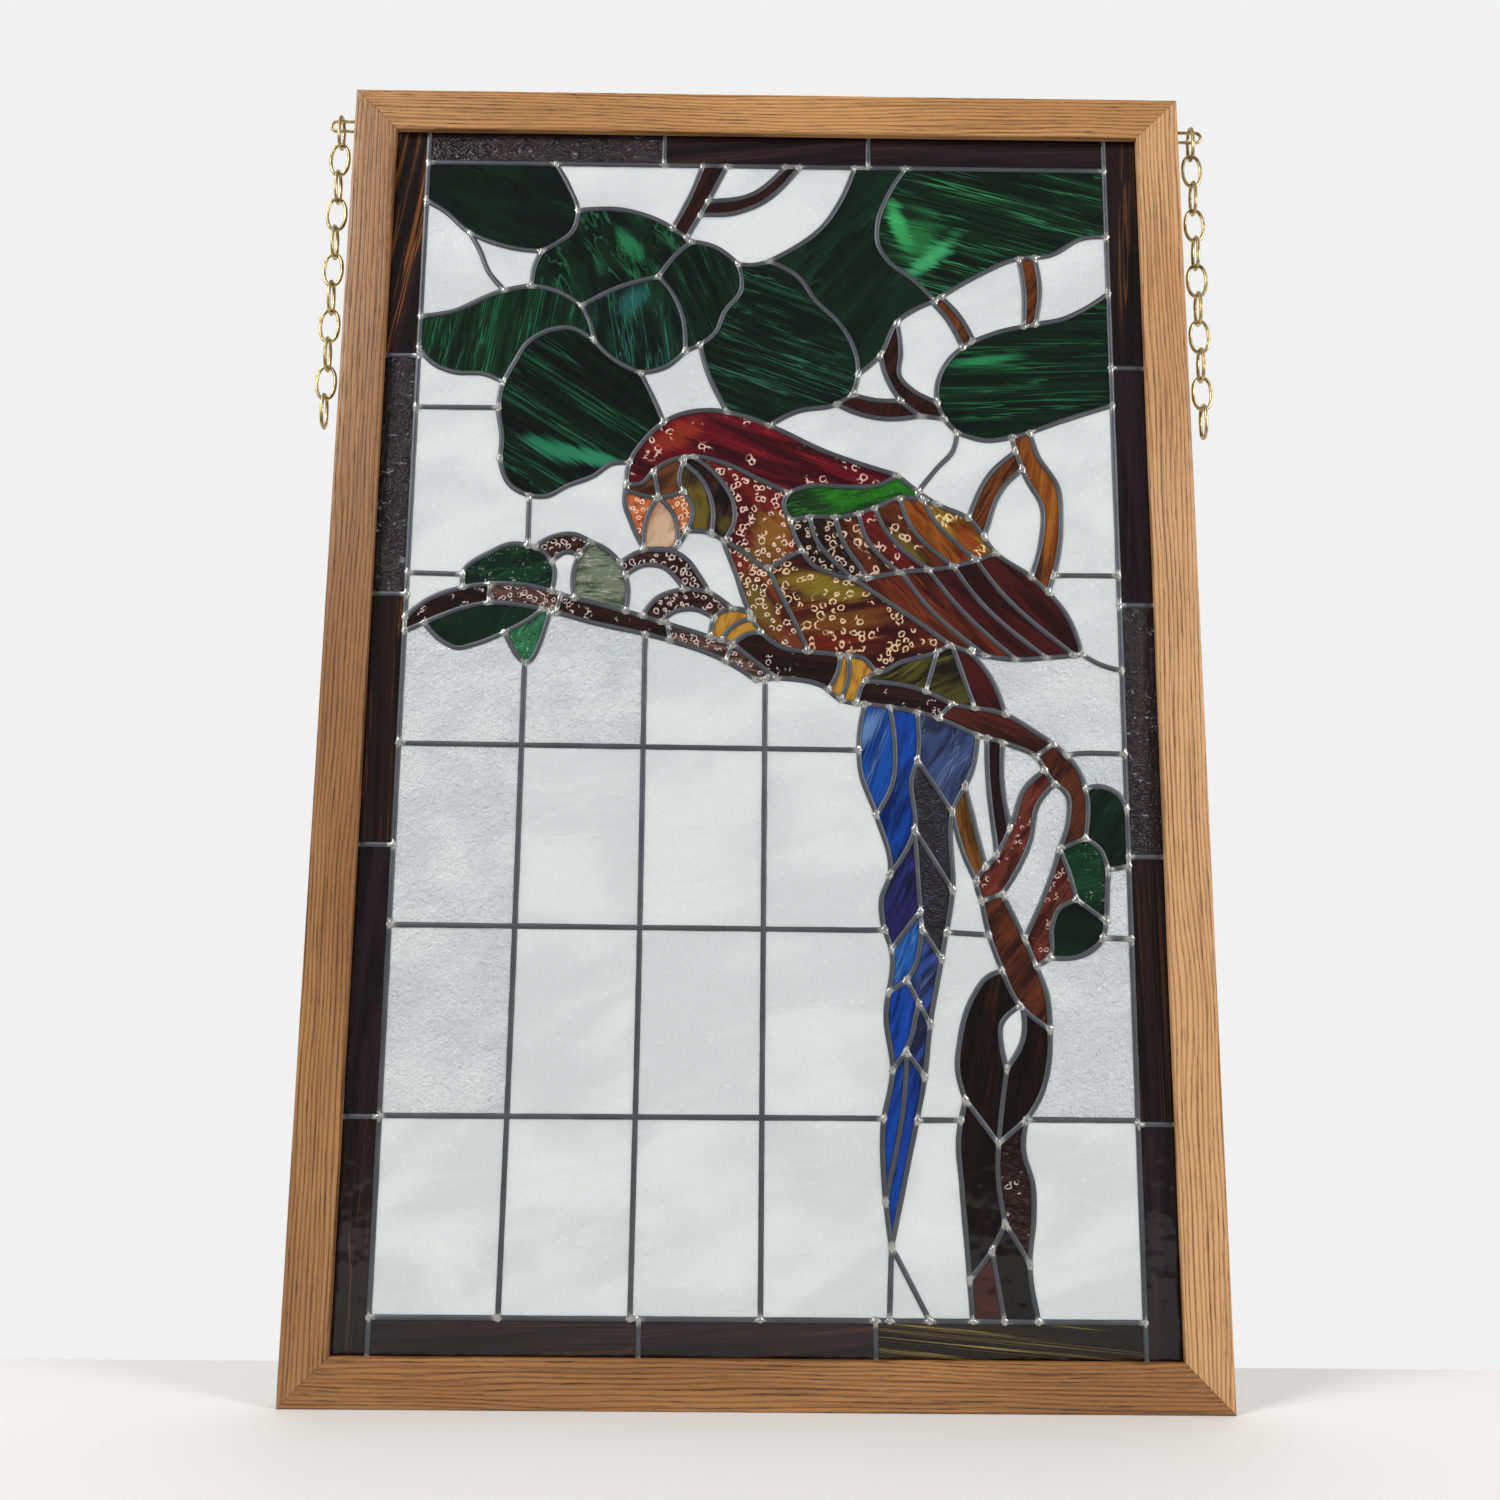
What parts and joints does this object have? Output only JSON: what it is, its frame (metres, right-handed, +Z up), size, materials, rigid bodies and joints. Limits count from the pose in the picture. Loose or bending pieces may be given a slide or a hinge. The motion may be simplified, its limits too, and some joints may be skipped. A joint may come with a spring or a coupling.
{
  "type": "stained glass window",
  "caption": "Leaded stained glass window with a long-tailed parrot on a branch among leaves, in a mitred oak frame with a brass chain hanging at each side.",
  "frame": {"origin": "centre of the top rail's back face", "axes": "+Z up, the picture side faces -Y, +X to the right seen from the front"},
  "size_m": [0.7948, 0.02, 1.127],
  "materials": {
    "oak": "open-grained oak, satin brown stain, worn at the corners",
    "lead": "dull grey lead came with bright solder at every joint",
    "brass": "pale antique brass wire",
    "border_glass": "near-black purple-brown art glass with amber streaks",
    "leaf_glass": "dark green art glass with emerald wisps",
    "sky_glass": "pale wispy opalescent glass",
    "ripple_glass": "rippled glass in white, green and brown",
    "wine_glass": "deep wine glass with orange-red streaks",
    "orange_glass": "orange and brown glass with hammered glints",
    "hammered_glass": "hammered glass from wine to olive gold",
    "bright_green_glass": "bright green rippled glass",
    "feather_glass": "red-brown and wine art glass",
    "blue_glass": "cobalt to slate and purple art glass",
    "amber_glass": "opaque amber-yellow glass",
    "branch_glass": "dark red-brown art glass"
  },
  "bodies": {
    "root": {"top_rail": "oak", "bottom_rail": "oak", "left_stile": "oak", "right_stile": "oak", "leadwork": "lead", "left_staple": "brass", "left_chain": "brass", "left_end_link": "brass", "right_staple": "brass", "right_chain": "brass", "right_end_link": "brass", "glass_border_left": "border_glass", "glass_border_right": "border_glass", "glass_border_top": "border_glass", "glass_border_bottom": "border_glass", "glass_leaf_upper_left": "leaf_glass", "glass_leaf_streaked_left": "leaf_glass", "glass_leaf_long_left": "leaf_glass", "glass_leaf_small_centre": "leaf_glass", "glass_leaf_large_left": "leaf_glass", "glass_leaf_narrow_centre": "leaf_glass", "glass_leaf_tall_centre": "leaf_glass", "glass_leaf_large_centre": "leaf_glass", "glass_leaf_upper_right": "leaf_glass", "glass_leaf_right": "leaf_glass", "glass_sky_top_with_twigs": "sky_glass", "glass_sky_left_strip": "sky_glass", "glass_sky_left": "sky_glass", "glass_sky_centre_gap": "sky_glass", "glass_sky_above_wing": "sky_glass", "glass_sky_right_with_twigs": "sky_glass", "glass_twig_hooked": "branch_glass", "glass_twig_forked": "sky_glass", "glass_sky_right": "sky_glass", "glass_sky_lower_right": "sky_glass", "glass_sky_column_1": "sky_glass", "glass_sky_column_2": "sky_glass", "glass_sky_column_3": "sky_glass", "glass_sky_column_4": "sky_glass", "glass_sky_beside_tail": "sky_glass", "glass_sky_with_vine": "sky_glass", "glass_sky_between_arms": "sky_glass", "glass_sky_below_beak": "sky_glass", "glass_arcs_above_branch": "ripple_glass", "glass_leaves_below_branch": "leaf_glass", "glass_macaw_crown": "wine_glass", "glass_macaw_head": "orange_glass", "glass_macaw_neck": "hammered_glass", "glass_macaw_breast": "hammered_glass", "glass_wing_shoulder": "bright_green_glass", "glass_wing_coverts": "feather_glass", "glass_wing_primaries": "feather_glass", "glass_tail_coverts": "feather_glass", "glass_tail_feathers": "blue_glass", "glass_foot_left": "amber_glass", "glass_foot_right": "amber_glass", "glass_branch": "branch_glass", "glass_branch_right": "branch_glass", "glass_trunk": "branch_glass", "glass_leaves_lower_right": "leaf_glass"}
  },
  "joints": []
}
